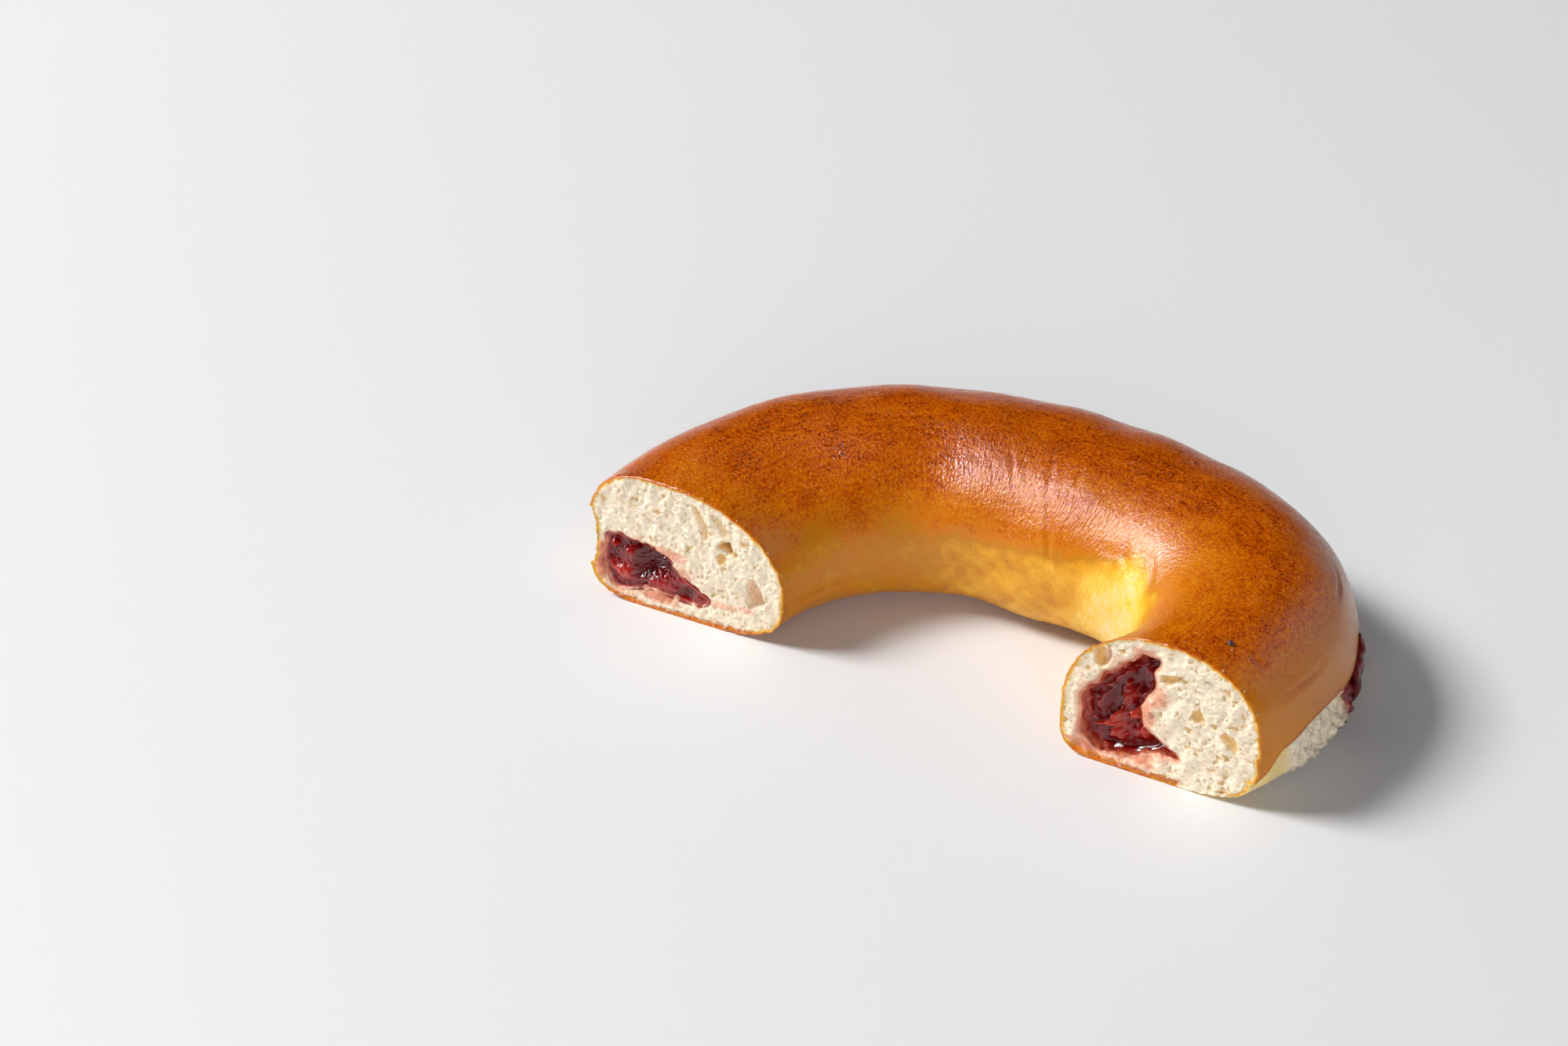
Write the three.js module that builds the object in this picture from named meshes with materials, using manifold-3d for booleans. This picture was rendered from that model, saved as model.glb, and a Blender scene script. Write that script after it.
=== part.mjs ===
// Half of a jam-filled ring bun, cut straight across the ring and lying on its flat underside.
// Millimetres, +Z up. The dough was rolled round a rope of jam, bent into a ring and glazed with egg.
// In the oven it burst along its outer side: the crust ends there in a lip, with torn crumb below it.
// Both cut faces look towards -Y, the bend towards +Y.
import * as THREE from "three";
import { mergeVertices } from "three/addons/utils/BufferGeometryUtils.js";
import Module from "manifold-3d";

const wasm = await Module();
wasm.setup();

const degrees = THREE.MathUtils.degToRad;
const HALF_RING = Math.PI;

// ---- The loaf: five cross-sections at equal turns, from the right cut (0) round to the left cut.
// radius: from the ring's centre to the top line. inner, outer: half widths on the two sides of it.
// waist: height of the widest line. The "round" values say how square each quarter is (2 = ellipse).
const SECTIONS = [
  { radius: 56, inner: 25.5, outer: 27.5, height: 43.4, waist: 17, roundIn: 2.2, roundOut: 2.25, heel: 5 },
  { radius: 81.5, inner: 31.5, outer: 30, height: 45, waist: 18, roundIn: 2.3, roundOut: 2.3, heel: 3.5 },
  { radius: 77.5, inner: 34, outer: 30, height: 47, waist: 18, roundIn: 2.3, roundOut: 2.3, heel: 3.5 },
  { radius: 84, inner: 35, outer: 27.5, height: 47.5, waist: 18, roundIn: 2.3, roundOut: 2.3, heel: 3.5 },
  { radius: 90, inner: 38, outer: 22.5, height: 43.4, waist: 17, roundIn: 2.1, roundOut: 2.8, heel: 3.5 },
];
const TOE = 3.15; // squareness of the outer lower quarter
const SETTLED = 0.4; // dough lower than this is pressed flat by the baking sheet

// ---- The two cuts: how far each is set off the ring's diameter, and turned against it.
const RIGHT_CUT = { shift: 6.3, skew: degrees(2.7) };
const LEFT_CUT = { shift: 2.5, skew: degrees(3.8) };
const CUT_REACH = 0.9; // radians of ring over which a cut's shift and skew fade out

// ---- The burst along the outer side, by degrees of turn from the right cut.
// lip, foot: heights of its two edges. flare: how far the crust's edge curls out above it.
// step: how far the crumb lies in under the lip. swell: how far the torn crumb bulges out between
// the edges, or sinks in where it is below zero.
const BURST = [
  { turn: 0, lip: 8.5, foot: 1.5, flare: 0.6, step: 0.8, swell: 1.2 },
  { turn: 5, lip: 17, foot: 1.5, flare: 0.8, step: 1.3, swell: 2.2 },
  { turn: 12, lip: 20.5, foot: 1.5, flare: 1, step: 1.8, swell: 3.4 },
  { turn: 24, lip: 20, foot: 2, flare: 1, step: 2.2, swell: 4.6 },
  { turn: 34, lip: 23, foot: 8, flare: 1, step: 2.6, swell: 3.4 },
  { turn: 60, lip: 22, foot: 11, flare: 1.2, step: 2.8, swell: 0.6 },
  { turn: 110, lip: 24, foot: 12, flare: 1.2, step: 3, swell: 0.4 },
  { turn: 150, lip: 23, foot: 11, flare: 0.8, step: 2.4, swell: -0.6 },
  { turn: 180, lip: 29, foot: 9.5, flare: 0, step: 0.4, swell: -2.4 },
];
const LIP_REACH = 7; // height over which the crust's edge curls out
const LIP_TUCK = 0.3; // the crumb starts this much below the edge

// ---- The jam's hollow, as seven corners (out, up) at each cut, clockwise from the top.
const HOLLOW_RIGHT = [
  [-2.5, 37],
  [-2.8, 28],
  [-5, 16],
  [6.3, 7.3],
  [-8, 4],
  [-21, 5.5],
  [-20, 22],
];
const HOLLOW_LEFT = [
  [10, 21.3],
  [16.3, 20.3],
  [17.4, 11.5],
  [14.5, 3.9],
  [0, 6.8],
  [-15, 7],
  [-3, 17],
];
const GAP = 0.35; // between the jam and the crumb round it
const JAM_BACK_FLOOR = 2; // the jam has slumped back from the right cut: this far at its floor
const JAM_BACK_ROOF = 15; // and this far at the roof of the hollow
const JAM_BACK_LEFT = 1.4; // at the left cut it is nearly flush
const SLUMP_RINGS = 5; // steps of the jam's length over which its slanting end evens out

// ---- Jam that leaked out through the burst: a neck, a blob under the lip and a run below it.
const LEAKS = [
  { turn: 31, x: 14, z: 17, out: 19.5, along: 7.5, up: 6.5 },
  { turn: 33, x: 30.6, z: 21.4, out: 3.4, along: 4.2, up: 4.6 },
  { turn: 29, x: 31.2, z: 13, out: 2.7, along: 3.6, up: 7 },
];

// ---- Larger air holes that the knife opened: place on the cut, half sizes, depth and lean.
const AIR_HOLES = [
  { turn: 0, x: -15.5, z: 32.8, wide: 2.7, tall: 3.3, deep: 4.5, lean: 0 },
  { turn: 0, x: 2.8, z: 33.1, wide: 3.2, tall: 1.8, deep: 2.8, lean: -10 },
  { turn: 0, x: 10.4, z: 24.2, wide: 2.3, tall: 1.9, deep: 2.4, lean: 20 },
  { turn: 0, x: 19.7, z: 19.2, wide: 1.5, tall: 4, deep: 1.8, lean: 25 },
  { turn: 180, x: -29.4, z: 14.2, wide: 2.7, tall: 5.2, deep: 8, lean: 18 },
  { turn: 180, x: -20.6, z: 28, wide: 2.6, tall: 2.3, deep: 6, lean: 0 },
  { turn: 180, x: -13.8, z: 34.2, wide: 1.2, tall: 6.4, deep: 2, lean: -32 },
  { turn: 180, x: -19, z: 24, wide: 2, tall: 3.4, deep: 1.8, lean: -12 },
];

// ---- How finely the surfaces are divided.
const STATIONS = 60;
const CRUST_POINTS = 24;
const BURST_POINTS = 6;
const SOLE_POINTS = 5;
const HOLLOW_STATIONS = 34;
const HOLLOW_POINTS = 22;
const HOLLOW_OVERRUN = degrees(5);
const BALL_SIDES = 12;
const BALL_RINGS = 8;
const MERGE = 1e-4;

const bread = new THREE.MeshStandardMaterial({ color: 0xc4741c, roughness: 0.38, metalness: 0 });
const jam = new THREE.MeshStandardMaterial({ color: 0x7a1416, roughness: 0.12, metalness: 0 });

// Smooth curve through evenly spaced values, at a place counted in steps.
function through(values, place) {
  const last = values.length - 1;
  const held = THREE.MathUtils.clamp(place, 0, last);
  const i = Math.min(Math.floor(held), last - 1);
  const u = held - i;
  const before = i > 0 ? values[i - 1] : 2 * values[0] - values[1];
  const after = i + 2 <= last ? values[i + 2] : 2 * values[last] - values[last - 1];
  const [a, b] = [values[i], values[i + 1]];
  const bend = 2 * before - 5 * a + 4 * b - after;
  const twist = 3 * (a - b) + after - before;
  return a + 0.5 * u * (b - before + u * (bend + u * twist));
}

function sectionAt(turn) {
  const place = (turn / HALF_RING) * (SECTIONS.length - 1);
  const section = {};
  for (const name of Object.keys(SECTIONS[0])) {
    section[name] = through(
      SECTIONS.map((key) => key[name]),
      place,
    );
  }
  return section;
}

function burstAt(turn) {
  const at = THREE.MathUtils.clamp(THREE.MathUtils.radToDeg(turn), 0, 180);
  const next = Math.max(
    1,
    BURST.findIndex((key) => key.turn >= at),
  );
  const [from, to] = [BURST[next - 1], BURST[next]];
  const share = THREE.MathUtils.smoothstep(at, from.turn, to.turn);
  const burst = {};
  for (const name of Object.keys(from)) {
    burst[name] = THREE.MathUtils.lerp(from[name], to[name], share);
  }
  return burst;
}

// Where a section stands in plan, and which way is out from the ring there.
function stand(turn) {
  const nearRight = THREE.MathUtils.smoothstep(1 - turn / CUT_REACH, 0, 1);
  const nearLeft = THREE.MathUtils.smoothstep(1 - (HALF_RING - turn) / CUT_REACH, 0, 1);
  const { radius } = sectionAt(turn);
  return {
    x: radius * Math.cos(turn),
    y: radius * Math.sin(turn) + RIGHT_CUT.shift * nearRight + LEFT_CUT.shift * nearLeft,
    facing: turn + RIGHT_CUT.skew * nearRight + LEFT_CUT.skew * nearLeft,
  };
}

// A section's point (out, up) as a point in space.
function placed(turn, point) {
  const { x, y, facing } = stand(turn);
  return new THREE.Vector3(x + point.x * Math.cos(facing), y + point.x * Math.sin(facing), point.y);
}

// One point of the unburst section. angle: 0 at the inner side, a half turn at the outer side.
function crustPoint(section, angle) {
  const across = Math.abs(Math.cos(angle));
  const rise = Math.abs(Math.sin(angle));
  const isInner = Math.cos(angle) >= 0;
  const isUpper = Math.sin(angle) >= 0;
  const upperRound = isInner ? section.roundIn : section.roundOut;
  const round = isUpper ? upperRound : isInner ? section.heel : TOE;
  const x = (isInner ? -section.inner : section.outer) * across ** (2 / round);
  const upper = section.waist + (section.height - section.waist) * rise ** (2 / round);
  const lower = section.waist * (1 - rise ** (2 / round));
  return new THREE.Vector2(x, Math.max(0, (isUpper ? upper : lower) - SETTLED));
}

// The angle at which the outer side passes a height.
function outerAngle(section, height) {
  const lift = height + SETTLED - section.waist;
  if (lift >= 0) {
    return Math.PI - Math.asin((lift / (section.height - section.waist)) ** (section.roundOut / 2));
  }
  return Math.PI + Math.asin((-lift / section.waist) ** (TOE / 2));
}

// The whole outline of a section, clockwise from the middle of the underside: in, over and out.
function loafOutline(turn) {
  const section = sectionAt(turn);
  const burst = burstAt(turn);
  const start = -Math.PI / 2;
  const lipAngle = outerAngle(section, burst.lip);
  const footAngle = outerAngle(section, burst.foot);
  const outline = [];
  for (let i = 0; i < CRUST_POINTS; i += 1) {
    const share = i / (CRUST_POINTS - 1);
    const angle = THREE.MathUtils.lerp(start, lipAngle, share);
    const point = crustPoint(section, angle);
    const isOuter = point.x > 0 && angle > Math.PI / 2;
    const above = point.y - burst.lip;
    point.x += isOuter ? burst.flare * THREE.MathUtils.smoothstep(LIP_REACH - above, 0, LIP_REACH) : 0;
    outline.push(point);
  }
  for (let i = 0; i < BURST_POINTS; i += 1) {
    const share = i / BURST_POINTS;
    const angle = THREE.MathUtils.lerp(lipAngle, footAngle, share);
    const point = crustPoint(section, angle);
    point.x += burst.swell * Math.sin(Math.PI * share) - burst.step * (1 - share ** 2);
    point.y -= i === 0 ? LIP_TUCK : 0;
    outline.push(point);
  }
  for (let i = 0; i < SOLE_POINTS; i += 1) {
    const angle = THREE.MathUtils.lerp(footAngle, start + 2 * Math.PI, i / SOLE_POINTS);
    outline.push(crustPoint(section, angle));
  }
  return outline;
}

// The hollow's outline at a turn, clockwise, drawn in by a gap.
function hollowOutline(turn, gap) {
  const share = THREE.MathUtils.smoothstep(turn, 0, HALF_RING);
  const corners = HOLLOW_RIGHT.map(([x, z], i) => {
    const [farX, farZ] = HOLLOW_LEFT[i];
    return new THREE.Vector3(THREE.MathUtils.lerp(x, farX, share), THREE.MathUtils.lerp(z, farZ, share), 0);
  });
  const curve = new THREE.CatmullRomCurve3(corners, true, "centripetal");
  const outline = [];
  for (let i = 0; i < HOLLOW_POINTS; i += 1) {
    const at = curve.getPoint(i / HOLLOW_POINTS);
    const along = curve.getTangent(i / HOLLOW_POINTS);
    outline.push(new THREE.Vector2(at.x + gap * along.y, at.y - gap * along.x));
  }
  return outline;
}

// A closed body through rings of points, each ring listed with its flat outline for the end faces.
function sweep(rings) {
  const sides = rings[0].outline.length;
  const vertices = rings.flatMap((ring) => ring.points.flatMap((point) => point.toArray()));
  const faces = [];
  for (let i = 0; i + 1 < rings.length; i += 1) {
    for (let j = 0; j < sides; j += 1) {
      const near = i * sides;
      const far = near + sides;
      const next = (j + 1) % sides;
      faces.push(near + j, near + next, far + j);
      faces.push(near + next, far + next, far + j);
    }
  }
  for (const [end, isFirst] of [
    [0, true],
    [rings.length - 1, false],
  ]) {
    const { outline } = rings[end];
    for (const [a, b, c] of THREE.ShapeUtils.triangulateShape(outline, [])) {
      const ab = outline[b].clone().sub(outline[a]);
      const ac = outline[c].clone().sub(outline[a]);
      const isTurned = ab.cross(ac) > 0 === isFirst;
      const corners = isTurned ? [a, b, c] : [a, c, b];
      faces.push(...corners.map((corner) => end * sides + corner));
    }
  }
  const geometry = new THREE.BufferGeometry();
  geometry.setAttribute("position", new THREE.Float32BufferAttribute(vertices, 3));
  geometry.setIndex(faces);
  return geometry;
}

// An egg-shaped ball at a place of the loaf: half sizes outward, along the ring and up.
function ball({ turn, x, z, out, along, up, lean = 0 }, grow = 0) {
  const angle = degrees(turn);
  const { facing } = stand(angle);
  const geometry = new THREE.SphereGeometry(1, BALL_SIDES, BALL_RINGS);
  geometry.scale(out + grow, along + grow, up + grow);
  geometry.rotateY(degrees(lean));
  geometry.rotateZ(facing);
  const centre = placed(angle, new THREE.Vector2(x, z));
  geometry.translate(centre.x, centre.y, centre.z);
  return geometry;
}

function solid(geometry) {
  const bare = geometry.clone();
  bare.deleteAttribute("normal");
  bare.deleteAttribute("uv");
  const merged = mergeVertices(bare, MERGE);
  const mesh = new wasm.Mesh({
    numProp: 3,
    vertProperties: merged.attributes.position.array,
    triVerts: new Uint32Array(merged.index.array),
  });
  return new wasm.Manifold(mesh);
}

function geometryOf(body) {
  const mesh = body.getMesh();
  const geometry = new THREE.BufferGeometry();
  geometry.setAttribute("position", new THREE.BufferAttribute(new Float32Array(mesh.vertProperties), 3));
  geometry.setIndex(new THREE.BufferAttribute(new Uint32Array(mesh.triVerts), 1));
  return geometry;
}

function loafBody() {
  const rings = [];
  for (let i = 0; i <= STATIONS; i += 1) {
    const turn = (i / STATIONS) * HALF_RING;
    const outline = loafOutline(turn);
    rings.push({ outline, points: outline.map((point) => placed(turn, point)) });
  }
  return solid(sweep(rings));
}

// The hollow runs from cut to cut and past both, so that it stays open.
function hollowBody() {
  const rings = [];
  for (let i = 0; i <= HOLLOW_STATIONS; i += 1) {
    const turn = THREE.MathUtils.lerp(-HOLLOW_OVERRUN, HALF_RING + HOLLOW_OVERRUN, i / HOLLOW_STATIONS);
    const outline = hollowOutline(turn, 0);
    rings.push({ outline, points: outline.map((point) => placed(turn, point)) });
  }
  return solid(sweep(rings));
}

// The jam keeps to the hollow's own stations. Its right end slants back from floor to roof.
function jamRope() {
  const rings = [];
  const step = (HALF_RING + 2 * HOLLOW_OVERRUN) / HOLLOW_STATIONS;
  const { radius } = SECTIONS[0];
  const leftRadius = SECTIONS[SECTIONS.length - 1].radius;
  const first = Math.ceil((HOLLOW_OVERRUN + JAM_BACK_FLOOR / radius) / step);
  const roof = Math.max(...HOLLOW_RIGHT.map(([, z]) => z));
  const floor = Math.min(...HOLLOW_RIGHT.map(([, z]) => z));
  for (let i = first; i <= HOLLOW_STATIONS; i += 1) {
    const even = -HOLLOW_OVERRUN + i * step;
    const turn = Math.min(even, HALF_RING - JAM_BACK_LEFT / leftRadius);
    const outline = hollowOutline(turn, GAP);
    const slumped = 1 - THREE.MathUtils.clamp((i - first) / SLUMP_RINGS, 0, 1);
    const points = outline.map((point, j) => {
      const height = THREE.MathUtils.clamp((point.y - floor) / (roof - floor), 0, 1);
      const back = (slumped * height * (JAM_BACK_ROOF - JAM_BACK_FLOOR)) / radius;
      return placed(turn + back, hollowOutline(turn + back, GAP)[j]);
    });
    rings.push({ outline, points });
    if (turn < even) break;
  }
  return solid(sweep(rings));
}

function airHole({ turn, x, z, wide, tall, deep, lean }) {
  return solid(ball({ turn, x, z, out: wide, along: deep, up: tall, lean }));
}

function breadGeometry() {
  let body = loafBody().subtract(hollowBody());
  for (const hole of AIR_HOLES) {
    body = body.subtract(airHole(hole));
  }
  for (const leak of LEAKS) {
    body = body.subtract(solid(ball(leak, GAP)));
  }
  return geometryOf(body);
}

function jamGeometry() {
  let body = jamRope();
  for (const leak of LEAKS) {
    body = body.add(solid(ball(leak)));
  }
  return geometryOf(body);
}

function named(name, geometry, material) {
  const mesh = new THREE.Mesh(geometry, material);
  mesh.name = name;
  return mesh;
}

const half = new THREE.Group();
half.add(named("bread", breadGeometry(), bread));
half.add(named("jam_filling", jamGeometry(), jam));

// The part's origin is the middle of its box on the table.
const box = new THREE.Box3().setFromObject(half);
const middle = box.getCenter(new THREE.Vector3());
half.position.set(-middle.x, -middle.y, -box.min.z);

const part = new THREE.Group();
part.add(half);

export default part;
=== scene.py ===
"""Looks of a half ring bun with a jam filling, on a pale table.

Sizes are in millimetres until a piece's mesh is made; Blender's own values are metres.
"""

import math

import bmesh
import bpy
import numpy as np
from mathutils import Matrix, Vector
from mathutils.geometry import delaunay_2d_cdt


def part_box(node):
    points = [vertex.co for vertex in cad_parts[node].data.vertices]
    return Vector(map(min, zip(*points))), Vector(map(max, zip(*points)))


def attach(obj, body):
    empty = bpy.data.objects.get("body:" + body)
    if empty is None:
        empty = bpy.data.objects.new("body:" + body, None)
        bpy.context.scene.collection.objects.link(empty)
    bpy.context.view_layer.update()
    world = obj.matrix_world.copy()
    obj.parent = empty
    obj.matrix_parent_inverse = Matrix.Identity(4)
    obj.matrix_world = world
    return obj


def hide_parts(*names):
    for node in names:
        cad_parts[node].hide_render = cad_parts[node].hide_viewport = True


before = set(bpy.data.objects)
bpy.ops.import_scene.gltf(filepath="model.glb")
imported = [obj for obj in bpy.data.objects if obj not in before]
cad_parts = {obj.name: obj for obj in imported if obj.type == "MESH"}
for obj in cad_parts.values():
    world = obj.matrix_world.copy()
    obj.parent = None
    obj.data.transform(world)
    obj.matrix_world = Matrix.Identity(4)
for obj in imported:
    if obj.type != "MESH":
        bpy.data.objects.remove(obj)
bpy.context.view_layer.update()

# ---- The loaf: enriched yeast dough rolled round a rope of jam, bent to a ring, brushed with egg.
# It browned on top and stayed golden at its sides. In the oven it burst along its outer side: the
# crust ends there in a lip over torn crumb. Two knife cuts opened it; its larger air holes show.
MM = 0.001

# Five cross-sections at equal turns, from the right cut (0) round to the left cut (a half turn).
SECTIONS = {
    "radius": (56, 81.5, 77.5, 84, 90),
    "inner": (25.5, 31.5, 34, 35, 38),
    "outer": (27.5, 30, 30, 27.5, 22.5),
    "height": (43.4, 45, 47, 47.5, 43.4),
    "waist": (17, 18, 18, 18, 17),
    "round_in": (2.2, 2.3, 2.3, 2.3, 2.1),
    "round_out": (2.25, 2.3, 2.3, 2.3, 2.8),
    "heel": (5, 3.5, 3.5, 3.5, 3.5),
}
RIGHT_RADIUS, LEFT_RADIUS = SECTIONS["radius"][0], SECTIONS["radius"][-1]
TOE = 3.15  # squareness of the outer lower quarter
SETTLED = 0.4  # dough lower than this is pressed flat
RIGHT_SHIFT, RIGHT_SKEW = 6.3, math.radians(2.7)
LEFT_SHIFT, LEFT_SKEW = 2.5, math.radians(3.8)
CUT_REACH = 0.9  # radians over which a cut's shift and skew fade out

# The burst, by degrees of turn: heights of its edges, the lip's curl, step under it, torn crumb.
BURST = {
    "turn": (0, 5, 12, 24, 34, 60, 110, 150, 180),
    "lip": (8.5, 17, 20.5, 20, 23, 22, 24, 23, 29),
    "foot": (1.5, 1.5, 1.5, 2, 8, 11, 12, 11, 9.5),
    "flare": (0.6, 0.8, 1, 1, 1, 1.2, 1.2, 0.8, 0),
    "step": (0.8, 1.3, 1.8, 2.2, 2.6, 2.8, 3, 2.4, 0.4),
    "swell": (1.2, 2.2, 3.4, 4.6, 3.4, 0.6, 0.4, -0.6, -2.4),
}
LIP_REACH = 7
LIP_TUCK = 0.3

STATIONS = 300
CRUST_POINTS, BURST_POINTS, SOLE_POINTS = 128, 34, 22
DENSE = 1500
WAVES = 24  # how many waves make a random swell


def smooth(value, low, high):
    """0 below low, 1 above high, and an even curve between them."""
    share = np.clip((value - low) / (high - low), 0, 1)
    return share * share * (3 - 2 * share)


def near(value, middle, reach, full):
    """1 within full of the middle, fading to 0 at reach from it."""
    return smooth(np.abs(value - middle), reach, full)


def through(values, place):
    """Smooth curve through evenly spaced values, at places counted in steps."""
    ends = (2 * values[0] - values[1], 2 * values[-1] - values[-2])
    keys = np.array((ends[0], *values, ends[1]), float)
    i = np.clip(np.floor(place).astype(int), 0, len(values) - 2)
    u = place - i
    before, a, b, after = (keys[i + k] for k in range(4))
    bend = 2 * before - 5 * a + 4 * b - after
    twist = 3 * (a - b) + after - before
    return a + 0.5 * u * (b - before + u * (bend + u * twist))


def section_at(turn):
    place = np.asarray(turn, float) / math.pi * (len(SECTIONS["radius"]) - 1)
    return {name: through(values, place) for name, values in SECTIONS.items()}


def burst_at(turn):
    at = np.clip(np.degrees(turn), 0, 180)
    keys = np.array(BURST["turn"], float)
    i = np.clip(np.searchsorted(keys, at) - 1, 0, len(keys) - 2)
    share = smooth(at, keys[i], keys[i + 1])
    burst = {}
    for name, values in BURST.items():
        held = np.array(values, float)
        burst[name] = held[i] + (held[i + 1] - held[i]) * share
    places = np.stack([at * 1.3, 0 * at], -1)
    wild = smooth(at, 36, 60) * smooth(at, 173, 158)
    burst["lip"] = burst["lip"] + wild * (0.9 * mottle(places, 17, 31) + 0.4 * mottle(places, 5, 32))
    burst["foot"] = burst["foot"] + wild * (0.7 * mottle(places, 14, 33) + 0.35 * mottle(places, 4, 34))
    return burst


def placed(turn, out, up):
    """Points of the sections (out, up) in space, round the ring's own centre."""
    near_right = smooth(1 - turn / CUT_REACH, 0, 1)
    near_left = smooth(1 - (math.pi - turn) / CUT_REACH, 0, 1)
    radius = section_at(turn)["radius"]
    facing = turn + RIGHT_SKEW * near_right + LEFT_SKEW * near_left
    x = radius * np.cos(turn) + out * np.cos(facing)
    shift = RIGHT_SHIFT * near_right + LEFT_SHIFT * near_left
    y = radius * np.sin(turn) + shift + out * np.sin(facing)
    return np.stack(np.broadcast_arrays(x, y, up), -1)


def crust_point(section, angle):
    """The unburst outline by angle: 0 at the inner side, a quarter turn on top, a half outside."""
    across, rise = np.abs(np.cos(angle)), np.abs(np.sin(angle))
    inner, upper = np.cos(angle) >= 0, np.sin(angle) >= 0
    above = np.where(inner, section["round_in"], section["round_out"])
    below = np.where(inner, section["heel"], TOE)
    power = 2 / np.where(upper, above, below)
    out = np.where(inner, -section["inner"], section["outer"]) * across**power
    top = section["waist"] + (section["height"] - section["waist"]) * rise**power
    bottom = section["waist"] * (1 - rise**power)
    return out, np.maximum(0, np.where(upper, top, bottom) - SETTLED)


def outer_angle(section, height):
    lift = height + SETTLED - section["waist"]
    if lift >= 0:
        rise = (lift / (section["height"] - section["waist"])) ** (section["round_out"] / 2)
        return math.pi - math.asin(rise)
    return math.pi + math.asin((-lift / section["waist"]) ** (TOE / 2))


def evenly(out, up, angle, count):
    """The same line with its points evenly spaced, without its last point."""
    along = np.concatenate([[0], np.cumsum(np.hypot(np.diff(out), np.diff(up)))])
    at = np.linspace(0, along[-1], count + 1)[:-1]
    return np.stack([np.interp(at, along, line) for line in (out, up, angle)])


def loaf_outline(turn):
    """Rows out, up and angle of a section's outline: in, over, out, down the burst and under."""
    section, burst = section_at(turn), burst_at(turn)
    start = -math.pi / 2
    lip = outer_angle(section, burst["lip"])
    foot = outer_angle(section, burst["foot"])
    angle = np.linspace(start, lip, DENSE)
    out, up = crust_point(section, angle)
    curl = burst["flare"] * smooth(LIP_REACH - (up - burst["lip"]), 0, LIP_REACH)
    out = out + np.where((out > 0) & (angle > math.pi / 2), curl, 0)
    crust = evenly(out, up, angle, CRUST_POINTS)
    share = np.linspace(0, 1, DENSE // 4)
    torn_angle = lip + (foot - lip) * share
    torn_out, torn_up = crust_point(section, torn_angle)
    torn_out = torn_out + burst["swell"] * np.sin(math.pi * share)
    torn_out = torn_out - burst["step"] * (1 - share**2)
    torn_up[0] -= LIP_TUCK
    torn = evenly(
        np.append(out[-1], torn_out),
        np.append(up[-1], torn_up),
        np.append(angle[-1], torn_angle),
        BURST_POINTS,
    )
    under_angle = np.linspace(foot, start + 2 * math.pi, DENSE // 4)
    under = evenly(*crust_point(section, under_angle), under_angle, SOLE_POINTS)
    return np.hstack([crust, torn, under])


def mottle(points, size, seed):
    """An even random swell through space, about 1 high, with humps of this size."""
    draw = np.random.default_rng(seed)
    waves = draw.normal(size=(WAVES, points.shape[-1]))
    waves /= np.linalg.norm(waves, axis=1, keepdims=True)
    waves *= math.tau / size * draw.uniform(0.6, 1.5, (WAVES, 1))
    phase = draw.uniform(0, math.tau, WAVES)
    return np.sin(points @ waves.T + phase).sum(-1) / math.sqrt(WAVES / 2)


turns = np.linspace(0, math.pi, STATIONS + 1)
outlines = np.stack([loaf_outline(turn) for turn in turns])
outs, ups, angles = outlines[:, 0], outlines[:, 1], outlines[:, 2]
skin = placed(turns[:, None], outs, ups)

# The ring's centre, from where the frame has the bread's box.
bread_low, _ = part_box("bread")
CENTRE = np.array([*bread_low], float) / MM - skin.reshape(-1, 3).min(0)
CENTRE[2] = 0
skin += CENTRE

along_ring = np.gradient(skin, axis=0)
round_loaf = np.roll(skin, -1, 1) - np.roll(skin, 1, 1)
outward = np.cross(round_loaf, along_ring)
outward /= np.linalg.norm(outward, axis=-1, keepdims=True)

columns = np.arange(skin.shape[1])
is_torn = (columns >= CRUST_POINTS + 1) & (columns < CRUST_POINTS + BURST_POINTS)
is_crust = columns < CRUST_POINTS + 1
degrees_round = np.degrees(angles)
degrees_turn = np.degrees(turns)[:, None] + 0 * angles
off_cut = smooth(np.minimum(degrees_turn, 180 - degrees_turn), 0, 2.5)

# Creases and dents of the crust: width, depth, and their (turn, angle) places in degrees.
CREASES = [
    (0.7, 0.7, ((7.5, 150.5), (13, 152.5), (18.5, 151))),
    (0.8, 0.5, ((41.5, 139.5), (36, 139.5), (31, 137))),
    (0.8, 0.45, ((92, 69), (90, 59), (87, 45.5), (84.5, 34.5), (82, 24), (80.5, 12))),
    (0.7, 0.32, ((102.5, 69.5), (101, 60), (99, 49))),
    (0.7, 0.32, ((84, 71), (82, 59))),
    (0.6, 0.28, ((92.5, 75), (90.5, 64))),
    (0.9, 0.34, ((65.5, 33), (61.5, 34), (59, 33.5), (61, 42.5))),
    (0.8, 0.3, ((61, 37.5), (54.5, 28.5), (47.5, 22.5))),
    (0.7, 0.25, ((54.5, 47), (47.5, 39.5), (44, 30.5))),
    (0.8, 0.3, ((61.5, 18.5), (57, 7), (55, -2))),
    (0.7, 0.25, ((52, 29.5), (49, 18), (47, 8))),
    (0.6, 0.22, ((58, 31), (54, 16), (52, 4))),
    (0.9, 0.8, ((173, -5), (165.5, -6), (160.5, -6.5), (155.5, -5.5), (149, -6.5))),
    (0.7, 0.4, ((8, 120), (7, 127), (8, 132))),
    (0.6, 0.5, ((17, 116), (18, 120))),
    (0.6, 0.45, ((12.5, 122), (13, 126))),
]
CREASE_STEPS = 60
INNER_RADIUS = 70  # of the wrinkled shoulder


def on_skin(turn, angle):
    """The nearest point of the smooth skin to a turn and angle in degrees, as grid indices."""
    i = int(round(turn / 180 * STATIONS))
    j = int(np.argmin(np.abs(degrees_round[i, : CRUST_POINTS + 1] - angle)))
    return i, j


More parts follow.
